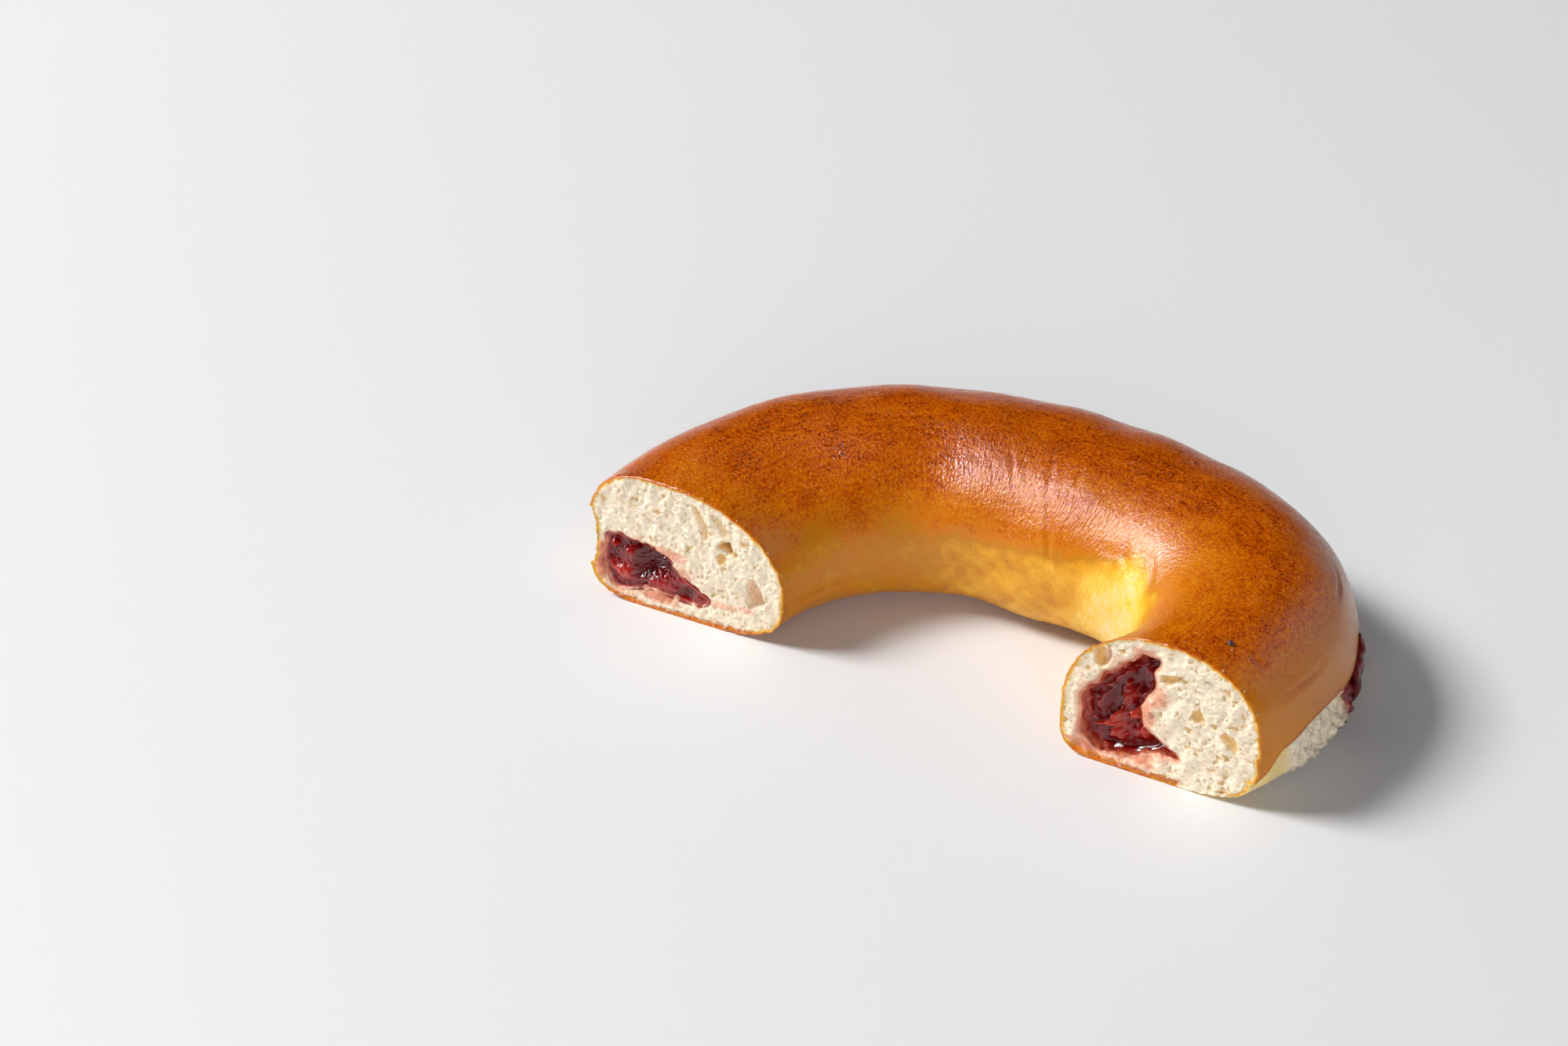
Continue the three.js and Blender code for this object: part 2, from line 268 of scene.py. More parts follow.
def patch(turn, angle, reach):
    """1 at a place of the crust, fading to 0 at this many millimetres from it."""
    gap = np.linalg.norm(skin - skin[on_skin(turn, angle)], axis=-1)
    return smooth(gap, reach, 0)


# Where fine wrinkles gather: across the loaf, on the inner shoulder of the bend.
wrinkle = near(degrees_turn, 84, 42, 14) * near(degrees_round, 60, 46, 12)
wrinkle += 0.5 * near(degrees_turn, 53, 14, 4) * near(degrees_round, 22, 30, 8)
around = np.cumsum(np.linalg.norm(np.diff(skin, axis=1, prepend=skin[:, :1]), axis=-1), 1)
length = np.radians(degrees_turn) * INNER_RADIUS
lie_flat = np.stack([length, around * 0.28], -1)
furrows = near(mottle(lie_flat, 3.2, 21), 0, 0.3, 0) + 0.6 * near(mottle(lie_flat, 2.1, 22), 0, 0.3, 0)
relief = 0.2 * mottle(skin, 26, 3) + 0.03 * mottle(skin, 6, 4)
painted_crease_shade = 0 * ups
for wide, deep, places in CREASES:
    corners = np.array([skin[on_skin(*place)] for place in places])
    steps = np.linspace(0, len(corners) - 1, CREASE_STEPS)
    line = np.stack([np.interp(steps, np.arange(len(corners)), axis) for axis in corners.T], -1)
    fade = np.sin(math.pi * (0.1 + np.arange(CREASE_STEPS) / CREASE_STEPS) / 1.2)
    gaps = np.stack([np.linalg.norm(skin - point, axis=-1) for point in line])
    nearest = gaps.argmin(0)
    gap = gaps.min(0)
    groove = np.exp(-((gap / wide) ** 2)) * fade[nearest]
    bank = np.exp(-((gap / wide - 1.8) ** 2)) * fade[nearest]
    relief += (0.4 * bank - groove) * deep
    painted_crease_shade += groove * deep
relief -= 0.22 * furrows * wrinkle * smooth(mottle(skin, 9, 23), -0.9, 0.5)
fibres = 0.22 * mottle(skin, 4, 5) + 0.2 * mottle(skin * (0.5, 0.5, 1), 1.3, 6)
fibres += 0.1 * mottle(skin * (0.4, 0.4, 1), 0.7, 8)
fibres *= 1 + 0.9 * smooth(degrees_turn, 38, 28)
torn_edge = smooth(columns, CRUST_POINTS + 1, CRUST_POINTS + 6)
relief = np.where(is_torn, fibres * torn_edge * smooth(degrees_turn, 6, 12), relief * is_crust)
on_table = smooth(ups, 0.2, 3)
ragged = (1 - off_cut) * (0.12 * mottle(skin, 1.6, 14) + 0.1 * mottle(skin, 4, 15))
relief = relief * on_table * off_cut + ragged * np.minimum(1, ups * 2 + 0.3)
smooth_skin = skin
skin = skin + outward * relief[..., None]

# How far each place is baked: pale dough 0, golden about a third, deep brown 1. Painted light and shade
# go into the same mark: darker in the outer creases, lighter where the highlight falls on the wrinkled
# shoulder, and lighter on the right leg's outer side.
GOLDEN_TURNS = (0, 20, 40, 52, 63, 78, 92, 106, 120, 132, 147, 163, 180)
GOLDEN_ANGLES = (8, 14, 44, 44, 31, 19, 16, 15, 18, 19, 21, 24, 26)
swirl = 3.5 * mottle(smooth_skin, 18, 7) + 1.2 * mottle(smooth_skin, 5, 16)
above_gold = degrees_round - np.interp(degrees_turn, GOLDEN_TURNS, GOLDEN_ANGLES) + swirl
bake = 0.36 + 0.2 * smooth(above_gold, -7, 7) + 0.25 * smooth(above_gold, 4, 46)
bake -= 0.2 * near(degrees_turn, 52, 28, 4) * smooth(above_gold, 2, -22)
# Painted highlight: the crust is made lighter on the wrinkled inner shoulder, where the window's
# highlight falls.
bake -= 0.1 * near(degrees_turn, 76, 40, 12) * near(degrees_round, 52, 26, 8)
bake -= 0.06 * near(degrees_turn, 62, 34, 14) * smooth(above_gold, 6, -10)
bake -= 0.15 * near(degrees_turn, 18, 34, 12) * near(degrees_round, 70, 32, 8)
bake -= 0.14 * smooth(degrees_turn, 164, 176) * near(degrees_round, 74, 30, 8)
bake -= 0.07 * near(degrees_turn, 98, 28, 12) * smooth(degrees_round, 20, 10)
# Painted shade: the crust is darker in its creases on the outer side.
bake += 0.3 * painted_crease_shade * smooth(degrees_round, 60, 110)
# The outer side is baked paler. On the right leg, below a turn of 60 degrees, it is painted lighter
# still: painted light from the right.
outer_fade = smooth(degrees_round, 104, 158)
bake -= outer_fade * (0.28 + 0.1 * smooth(degrees_turn, 60, 8))
bake += 0.018 * mottle(smooth_skin, 11, 9) + 0.014 * mottle(smooth_skin, 4, 10)
bake += 0.2 * smooth(ups, 4.5, 0.6) * (degrees_round < 20)
DARK_PATCHES = (
    (160, 41.5, 6, 0.13), (153, 95, 7, 0.07), (140, 93, 8, 0.07), (129, 96, 6, 0.06),
    (70, 92, 12, 0.05), (35, 100, 10, 0.04), (143, 42, 12, 0.06), (61, 36, 4.5, 0.14),
    (31, 62, 9, 0.04),
)
for turn, angle, reach, much in DARK_PATCHES:
    bake += much * patch(turn, angle, reach)
lip_gap = np.clip(burst_at(turns)["lip"][:, None] - ups, -30, 30)
crust_lip = near(lip_gap, 0, 2.2, 0) * (degrees_round > 140)
bake += 0.12 * crust_lip
cream_side = smooth(degrees_turn, 14, 5)
under_bake = (0.3 - 0.22 * cream_side) + 0.45 * smooth(ups, 4.5, 0) * (1 - 0.8 * cream_side)
torn_bake = 0.08 + 0 * ups
bake = np.where(is_crust, bake, np.where(is_torn, torn_bake, under_bake))
under_inner = is_crust & (ups < 0.3)
bake = np.where(under_inner, np.maximum(bake, 0.72), bake)
torn_share = smooth(columns, CRUST_POINTS + 0.5, CRUST_POINTS + 2.5)
skin_crumb = np.where(is_torn, torn_share * (1 - 0.75 * smooth(degrees_turn, 9, 6.5)), 0.0)
# Jam ran down the torn crumb under the leak and soaked in beside it.
drip = 0.55 * np.exp(-(((degrees_turn - 25.5) / 2.2) ** 2)) * smooth(ups, 3, 6)
skin_stain = is_torn * np.clip(drip + 0.8 * near(degrees_turn, 30, 6, 2.5), 0, 0.9)
# The torn crumb toasted in the oven, most of all along the burst's lower edge.
down_burst = np.clip((columns - CRUST_POINTS) / BURST_POINTS, 0, 1)
toasted = 0.24 * smooth(mottle(skin * (0.5, 0.5, 1), 5, 51), 0.1, 1.3)
toasted += 0.3 * smooth(down_burst, 0.75, 1)
toasted *= (0.3 + 0.7 * smooth(degrees_turn, 32, 55)) * smooth(degrees_turn, 7, 12)
torn_brown = is_torn * toasted

# ---- The hollow: the inner wall of the dough round its rope of jam, open at both cuts. Where the
# jam slumped back the wall shows, wet and stained, behind a rim that wore round as it was cut.
HOLLOW_RIGHT = (
    (-6.3, 37.3), (-1.6, 37), (-2.9, 32), (-1.9, 30), (-5.3, 21.5), (-4.4, 14.8), (4.3, 9.6),
    (6.5, 7.4), (0.4, 7.9), (-7.4, 4), (-15.5, 2.8), (-21.3, 7), (-21.2, 20.5), (-17, 26.2),
)
HOLLOW_LEFT = (
    (10.1, 20.9), (12.8, 21.7), (16.2, 21), (16.9, 18.5), (17.8, 12.3), (16.9, 7), (14.8, 3.6),
    (11.4, 4.2), (3.7, 6.9), (-4.4, 5.9), (-12.4, 5.9), (-14.9, 7.9), (-7.5, 11.7), (-0.7, 19.2),
)
HOLLOW_POINTS = 120
ROUNDING = 0.7
FINE = 512  # steps of an outline while its corners are rounded
RIM = 1.2  # how far the hollow's worn rim lies behind the cut
SEEN_RIGHT, SEEN_LEFT = 22, 4  # how deep each cut shows the wall, which is finer there


def rounded(corners, softness, count):
    """A closed outline through these corners, evenly spaced, with its corners rounded off."""
    closed = np.vstack([corners, corners[:1]])
    along = np.concatenate([[0], np.cumsum(np.linalg.norm(np.diff(closed, axis=0), axis=1))])
    at = np.linspace(0, along[-1], FINE + 1)[:-1]
    line = np.interp(at, along, closed[:, 0]) + 1j * np.interp(at, along, closed[:, 1])
    pitch = np.fft.fftfreq(FINE) * FINE * math.tau / along[-1]
    line = np.fft.ifft(np.fft.fft(line) * np.exp(-((pitch * softness) ** 2) / 2))
    line = np.append(line, line[0])
    pick, steps = np.linspace(0, FINE, count + 1)[:-1], np.arange(FINE + 1)
    return np.interp(pick, steps, line.real), np.interp(pick, steps, line.imag)


def hollow_outline(turn, grow=0.0):
    share = float(smooth(turn, 0, math.pi))
    right, left = np.array(HOLLOW_RIGHT, float), np.array(HOLLOW_LEFT, float)
    out, up = rounded(right + (left - right) * share, ROUNDING, HOLLOW_POINTS)
    if grow:
        line = out + 1j * up
        side = np.roll(line, -1) - np.roll(line, 1)
        line = line + 1j * side / np.abs(side) * grow
        out, up = line.real, line.imag
    return out, up


lining_turns = np.concatenate([
    np.linspace(RIM, SEEN_RIGHT, 40, endpoint=False) / RIGHT_RADIUS,
    np.linspace(SEEN_RIGHT / RIGHT_RADIUS, math.pi - SEEN_LEFT / LEFT_RADIUS, 40, endpoint=False),
    math.pi - np.linspace(SEEN_LEFT, RIM, 8) / LEFT_RADIUS,
])
lining = []
for turn in lining_turns:
    out, up = hollow_outline(turn)
    lining.append(placed(turn, out, up) + CENTRE)
lining = np.stack(lining)
lining_in = np.cross(np.roll(lining, -1, 1) - np.roll(lining, 1, 1), np.gradient(lining, axis=0))
lining_in /= np.linalg.norm(lining_in, axis=-1, keepdims=True)
inside = np.minimum(np.arange(len(lining)), np.arange(len(lining))[::-1])[:, None]
lumps = 0.4 * mottle(lining, 3.5, 11) + 0.2 * mottle(lining, 1.4, 12)
lumps *= 0.6 + 0.4 * smooth(inside, 0, 3)
lining = lining + lining_in * lumps[..., None]

# ---- The cut faces: the knife opened a fine foam of pores, some larger pits and a few tears. Jam
# soaked the crumb round the hollow, and the crust shows as a thin browned edge all round.

# Larger pits that the knife opened: depth, how much painted shade darkens them, reach of the sloping
# wall, how much jam is in them, and their outline on the cut.
PITS_RIGHT = [
    (3.4, 0.66, 0.5, 0, ((-18.2, 35), (-15.8, 36.9), (-13.3, 36.4), (-12.9, 33.8), (-14.4, 30.6),
     (-15.8, 29.5), (-17.8, 30.8))),
    (1.2, 0.65, 0.5, 0, ((-11.7, 36.9), (-9.9, 38), (-9.7, 36.1), (-10.6, 35))),
    (1.65, 0.53, 0.5, 0, ((-0.5, 33.3), (2.7, 34.1), (4.3, 35), (5.6, 33.8), (4.6, 32.2),
     (2.4, 30.5), (-0.3, 30.8))),
    (2.7, 0.85, 0.5, 0, ((3.4, 34.2), (4.4, 34.9), (5.4, 33.8), (4.5, 32.6), (3.3, 33))),
    (1.65, 0.55, 0.5, 0, ((10.6, 27.1), (8, 22.7), (10.3, 21.4), (12.7, 22.4), (11.5, 25))),
    (1.12, 0.55, 0.5, 0, ((16, 35), (17.5, 35.1), (18.5, 33.4), (17.8, 32.1), (16.2, 33.6))),
    (1.12, 0.55, 0.5, 0, ((16.2, 20), (17.9, 21.8), (19.8, 21.2), (21.3, 19.2), (21.9, 17.3),
     (21, 15.1), (19.8, 16.5), (17.5, 18.7))),
    (0.75, 0.55, 0.5, 0, ((17.1, 22.6), (18.6, 24.3), (20.7, 24.8), (21.7, 22.9), (19.6, 23.3))),
    (0.98, 0.6, 0.5, 0, ((13.8, 9.1), (14.7, 7.7), (16.1, 7.7), (17.6, 9.3), (15.6, 8.9))),
    (0.68, 0.45, 0.5, 0, ((17.6, 7.4), (19.8, 9.2), (20.6, 9), (19, 7.4))),
    (0.75, 0.55, 0.5, 0, ((23.8, 8.8), (24.9, 9.2), (25.2, 7.6), (24.3, 6.9))),
    (0.6, 0.65, 0.5, 0, ((-22, 28.3), (-21.3, 29.6), (-20.6, 29), (-21.3, 27.9))),
    (0.6, 0.65, 0.5, 0, ((-20.9, 30.8), (-20, 32), (-19.4, 31.2), (-20.2, 30.3))),
    (1.05, 1, 0.5, 0, ((8, 12.7), (8, 13.7), (9.1, 13.8), (9.2, 12.7))),
    (0.75, 0.55, 0.5, 0, ((-1.2, 37), (1, 37.8), (3.2, 37.7), (1, 37.1))),
]
PITS_LEFT = [
    (3.6, 1, 0.5, 0, ((-19.2, 30.3), (-20.5, 29.8), (-21.6, 30.2), (-23.1, 27.5), (-22, 25.8),
     (-20.5, 25.9), (-18, 27.1))),
    (1.27, 0.6, 0.5, 0, ((-17.2, 24.5), (-19, 25.7), (-20.8, 24.4), (-20, 21.8), (-18.2, 21.4))),
    (3, 0.42, 1.4, 0, ((-9.6, 39), (-11.9, 38.8), (-15.2, 33), (-15.4, 28.6), (-13.4, 28),
     (-12.2, 32.5))),
    (2.4, 0.4, 1.3, 0, ((-15, 37.9), (-18.2, 37), (-21, 33.6), (-21.6, 31), (-19.4, 31),
     (-17.2, 34.8))),
    (0.98, 0.6, 0.5, 0, ((-24.7, 31.6), (-26.3, 31.8), (-27, 30.4), (-26.6, 29.2), (-25, 30.2))),
    (6, 0.4, 0.5, 0.12, ((-27.3, 19.9), (-28.9, 20.3), (-31.4, 16.6), (-32.6, 12.9), (-32, 11.4),
     (-27.4, 9.6), (-26.2, 13), (-26.4, 17.3))),
    (0.68, 0.55, 0.5, 0, ((-15.2, 27.6), (-16.4, 27.6), (-16.3, 26.5), (-15.3, 26.4))),
    (0.6, 0.55, 0.5, 0, ((-12.9, 24.8), (-14, 24.8), (-13.8, 23.8), (-12.9, 23.8))),
    (0.83, 0.5, 0.5, 0, ((8.2, 34.6), (9.4, 33.8), (8.8, 31.8), (7.4, 32.8))),
    (0.75, 0.5, 0.5, 0, ((-1.6, 33.6), (0.6, 34.4), (2.2, 33.2), (0.2, 32.2))),
    (0.83, 0.65, 0.5, 0, ((-9, 16.9), (-10.4, 17.2), (-10.6, 15.4), (-9.2, 15.2))),
    (0.6, 0.55, 0.5, 0, ((-23.3, 12.9), (-24.6, 12.9), (-24.4, 11.8), (-23.2, 11.8))),
]
# Where jam has soaked into the crumb: (out, up, half width, half height, how much).
SOAKED_RIGHT = (
    (-1.5, 26, 4, 4.5, 0.42), (-3.2, 18, 3, 6, 0.46), (-17, 3.6, 9, 2.6, 0.5), (-7, 5, 9, 3.2, 0.5),
    (2.5, 8, 4.5, 1.6, 0.4), (-20.8, 18, 1.6, 9, 0.22), (-5, 38, 3.4, 2, 0.42),
    (-12, 33, 4, 3, 0.2),
)
SOAKED_LEFT = (
    (0, 19.6, 9, 2.6, 0.4), (-6, 13.5, 4.5, 4, 0.36), (-17, 8, 10, 1.3, 0.32),
    (-26.5, 9, 3, 1.2, 0.3), (18.9, 11.5, 3.6, 7, 0.58), (1, 4.6, 7, 2, 0.5),
    (14, 2.6, 6, 1.6, 0.3), (7, 20.6, 2.5, 2.4, 0.36),
)
# Furrows that the knife tore in the soft crumb: (start, end, depth).
TEARS_RIGHT = (
    ((6, 20), (13, 17.5), 0.4), ((9, 31), (15, 29), 0.35), ((2, 25), (6, 28), 0.4),
)
TEARS_LEFT = (
    ((-3, 36), (-7, 30), 0.7), ((-7, 30), (-9, 25), 0.6), ((0, 31), (-5, 27), 0.5),
    ((6, 33), (1, 27.5), 0.5), ((-2, 25), (-8, 21), 0.6), ((-12, 22), (-14, 15), 0.5),
    ((11, 30), (5, 24), 0.45), ((-18, 20), (-21, 12), 0.45),
)
GRAIN = 0.43  # distance between points of a cut face
RIM_POINTS = 64


def within(points, loop):
    """Which points lie inside a closed outline."""
    x, y = points[:, :1], points[:, 1:]
    ax, ay = loop[:, 0], loop[:, 1]
    bx, by = np.roll(ax, -1), np.roll(ay, -1)
    spans = (ay > y) != (by > y)
    cross = ax + (y - ay) / np.where(by == ay, 1, by - ay) * (bx - ax)
    return (spans & (x < cross)).sum(1) % 2 == 1


def gap_to(points, loop):
    """Distance of each point from a closed outline."""
    start, step = loop, np.roll(loop, -1, 0) - loop
    best = np.full(len(points), np.inf)
    for a, d in zip(start, step):
        t = np.clip(((points - a) @ d) / max(d @ d, 1e-9), 0, 1)
        best = np.minimum(best, np.linalg.norm(points - a - t[:, None] * d, axis=1))
    return best


def crumb_face(outer, hollow, pits, soaked, tears, pores, lip_stain, seed):
    """Points of a cut face inside its crust, with their depth under the cut and their marks."""
    draw = np.random.default_rng(seed)
    low, high = outer.min(0), outer.max(0)
    grid = np.stack(np.meshgrid(
        np.arange(low[0], high[0], GRAIN), np.arange(low[1], high[1], GRAIN * 0.87),
    ), -1)
    grid[::2, :, 0] += GRAIN / 2
    points = grid.reshape(-1, 2) + draw.uniform(-0.1, 0.1, (grid.size // 2, 2))
    rims = [np.stack(rounded(np.array(pit[-1], float), 0.25, RIM_POINTS), -1) for pit in pits]
    points = points[within(points, outer) & ~within(points, hollow)]
    for rim in rims:
        points = points[gap_to(points, rim) > GRAIN * 0.4]
    for rim in rims:
        spacing = RIM_POINTS * GRAIN / np.linalg.norm(rim - np.roll(rim, 1, 0), axis=1).sum()
        points = np.vstack([points, rim[:: max(1, int(spacing))]])
    edge, lip = gap_to(points, outer), gap_to(points, hollow)
    inside = within(points, outer) & ~within(points, hollow)
    keep = inside & (edge > GRAIN * 0.55) & (lip > GRAIN * 0.55)
    points, edge, lip = points[keep], edge[keep], lip[keep]
    bent = points + 0.25 * np.stack([mottle(points, 1.8, seed + 3), mottle(points, 1.8, seed + 4)], -1)
    depth = 0.3 + 0.18 * mottle(points * (1, 0.6), 6, seed + 1) + 0.1 * mottle(points, 2.2, seed + 2)
    pore = 0 * depth
    for _ in range(pores):
        middle = draw.uniform(low, high)
        size = 0.45 + 0.9 * draw.random() ** 3.5
        stretch, lean = draw.uniform(0.5, 0.95), draw.uniform(0, math.pi)
        dx, dz = (bent - middle).T
        u = (dx * math.cos(lean) + dz * math.sin(lean)) / size
        v = (dz * math.cos(lean) - dx * math.sin(lean)) / (size * stretch)
        bowl = smooth(u * u + v * v, 1.1, 0)
        pore = np.maximum(pore, bowl * (0.35 + 0.65 * size))
    depth += pore * 0.4
    for start, end, deep in tears:
        way = np.subtract(end, start)
        share = np.clip(((bent - start) @ way) / (way @ way), 0, 1)
        gap = np.linalg.norm(bent - start - share[:, None] * way, axis=1)
        depth += 1.2 * deep * np.exp(-((gap / 0.8) ** 2)) * np.sin(math.pi * (0.1 + 0.8 * share))
    brown, jammy = 0 * depth, 0 * depth
    uneven = 0.2 * mottle(points, 1.6, seed + 9)
    for (deep, pit_shade_and_toast, wall, jam, _), rim in zip(pits, rims):
        in_pit = within(points, rim)
        gap = np.where(in_pit, gap_to(points, rim), 0)
        sunk = 1 - np.exp(-gap / wall)
        depth = np.where(in_pit, depth * (1 - sunk) + (deep + uneven) * sunk, depth)
        pore = np.where(in_pit, pore * (1 - sunk), pore)
        # Painted shade: a pit is darker the deeper it sinks.
        brown = np.where(in_pit, pit_shade_and_toast * (0.3 + 0.6 * sunk), brown)
        jammy = np.where(in_pit, jam, jammy)
    depth = RIM + (depth * smooth(edge, 0, 1.3) - RIM) * smooth(lip, -0.1, 1.7)
    stain = lip_stain * smooth(lip, 2.0, -0.2)
    wavy = 0.15 * mottle(points, 3.5, seed + 11)
    for x, z, wide, tall, much in soaked:
        share = ((points[:, 0] - x) / wide) ** 2 + ((points[:, 1] - z) / tall) ** 2
        stain = np.maximum(stain, much * smooth(share + wavy, 1.7, 0.1))
    stain = np.maximum(stain, jammy)
    return points, depth, pore, brown, stain, edge, lip


def joined(points, loops):
    """Triangles between points and closed outlines; the first outline is the outer edge."""
    flat = np.vstack([*loops, points])
    edges, start = [], 0
    for loop in loops:
        edges += [(start + i, start + (i + 1) % len(loop)) for i in range(len(loop))]
        start += len(loop)
    made = delaunay_2d_cdt([Vector(p) for p in flat], edges, [], 0, 1e-7)
    triangles = np.array(made[2])
    order = np.array([o[0] for o in made[3]])
    triangles = order[triangles]
    middle = flat[triangles].mean(1)
    keep = within(middle, loops[0])
    for loop in loops[1:]:
        keep &= ~within(middle, loop)
    return triangles[keep]


def plane_of(turn):
    """A cut's origin, its outward direction in plan and the direction out of the crumb."""
    origin = placed(turn, 0.0, 0.0) + CENTRE
    out = placed(turn, 1.0, 0.0) + CENTRE - origin
    normal = np.array([out[1], -out[0], 0]) if turn < 1 else np.array([-out[1], out[0], 0])
    return origin, out, normal


into = np.minimum(lining_turns * RIGHT_RADIUS, (math.pi - lining_turns) * LEFT_RADIUS)
into = into[:, None] + 0 * lining[..., 0]
# The lining's colour grows redder and darker the deeper it lies in the hollow.
lining_redness = 0.5 + 0.2 * smooth(into, 0.8, 2.6) + 0.3 * smooth(into, 1.6, 8)
lining_redness -= 0.12 * smooth(lining[..., 2], 10, 5) * smooth(into, 8, 1)
lining_redness += 0.05 * mottle(lining, 4, 17)
vertices = [skin.reshape(-1, 3), lining.reshape(-1, 3)]
marks = {
    "bake": [bake, 0 * into + 0.1],
    "crumb": [skin_crumb, 0 * into + 1],
    "stain": [skin_stain, lining_redness],
    "pore": [skin_crumb * -0.3, 0 * into + 0.2],
    "brown": [torn_brown, 0 * into],
    "wrinkle": [wrinkle * is_crust, 0 * into],
}
marks = {name: [part.ravel() for part in parts] for name, parts in marks.items()}
lies = [np.stack([length, around, 0 * ups], -1).reshape(-1, 3), lining.reshape(-1, 3)]
faces = []


def grid_faces(first, rings, sides):
    """Four-cornered faces between rings of points."""
    i, j = np.meshgrid(np.arange(rings - 1), np.arange(sides), indexing="ij")
    a = first + i * sides + j
    b = first + i * sides + (j + 1) % sides
    return np.stack([a, b, b + sides, a + sides], -1).reshape(-1, 4).tolist()


sides = skin.shape[1]
lining_start = skin.size // 3
faces += grid_faces(0, len(skin), sides)
faces += grid_faces(lining_start, len(lining), HOLLOW_POINTS)
total = lining_start + lining.size // 3
for turn, row, pits, soaked, tears, pores, lip_stain, seed in (
    (0.0, 0, PITS_RIGHT, SOAKED_RIGHT, TEARS_RIGHT, 330, 0.5, 40),
    (math.pi, -1, PITS_LEFT, SOAKED_LEFT, TEARS_LEFT, 300, 0.66, 60),
):
    origin, out, normal = plane_of(turn)
    edge_loop = np.stack([(skin[row] - origin) @ out, skin[row][:, 2]], -1)
    hollow_loop = np.stack([(lining[row] - origin) @ out, lining[row][:, 2]], -1)
    points, depth, pore, brown, stain, edge, lip = crumb_face(
        edge_loop, hollow_loop, pits, soaked, tears, pores, lip_stain, seed
    )
    triangles = joined(points, [edge_loop, hollow_loop])
    ring = 0 if row == 0 else (len(skin) - 1) * sides
    hole_ring = lining_start + (0 if row == 0 else (len(lining) - 1) * HOLLOW_POINTS)
    index = np.concatenate([
        ring + np.arange(sides),
        hole_ring + np.arange(HOLLOW_POINTS),
        total + np.arange(len(points)),
    ])
    faces += index[triangles].tolist()
    face_points = origin + points[:, :1] * out - normal * depth[:, None]
    face_points[:, 2] = points[:, 1]
    vertices.append(face_points)
    lies.append(face_points)
    total += len(points)
    bottom = smooth(points[:, 1], 3.5, 1.5)
    bare = bottom * smooth(points[:, 0], 6.5, 8.5) if row == 0 else 0 * bottom
    thick = 1 + (0.5 + 0.9 * (row == 0)) * bottom
    crust_edge = edge / thick + 0.14 * mottle(points, 1.7, seed + 5)
    crust_edge += 0.12 * mottle(points, 5, seed + 6)
    marks["crumb"].append(np.maximum(smooth(crust_edge, 0.15, 1.9), bare))
    sole = (0.3 + 0.15 * mottle(points, 1.1, seed + 7)) * bottom * (1 - bare)
    marks["bake"].append(0.3 + sole - 0.2 * smooth(edge, 0.2, 1.4) * (1 - bottom))
    marks["stain"].append(stain)
    marks["pore"].append(pore)
    marks["brown"].append(brown)
    marks["wrinkle"].append(0 * depth)


def shown(name, data):
    """A new object in the scene, from a mesh, a light or a lens."""
    made = bpy.data.objects.new(name, data)
    bpy.context.scene.collection.objects.link(made)
    return made


def mesh_of(name, points, faces):
    """A closed mesh in metres, with its faces turned outward."""
    mesh = bpy.data.meshes.new(name)
    mesh.from_pydata((points * MM).tolist(), [], faces)
    body = bmesh.new()
    body.from_mesh(mesh)
    bmesh.ops.recalc_face_normals(body, faces=body.faces)
    body.to_mesh(mesh)
    body.free()
    mesh.shade_smooth()
    return shown(name, mesh)


def mark(piece, name, values):
    layer = piece.data.attributes.new(name, "FLOAT", "POINT")
    layer.data.foreach_set("value", np.asarray(values, np.float32))


loaf = mesh_of("loaf", np.vstack(vertices), faces)
for name, values in marks.items():
    mark(loaf, name, np.concatenate(values))
lie = loaf.data.attributes.new("lie", "FLOAT_VECTOR", "POINT")
lie.data.foreach_set("vector", (np.vstack(lies) * MM).astype(np.float32).ravel())


def paint(red, green, blue):
    """A colour as seen on a screen, in the renderer's own even light."""
    parts = [c / 255 for c in (red, green, blue)]
    even = [p / 12.92 if p <= 0.04045 else ((p + 0.055) / 1.055) ** 2.4 for p in parts]
    return (*even, 1)


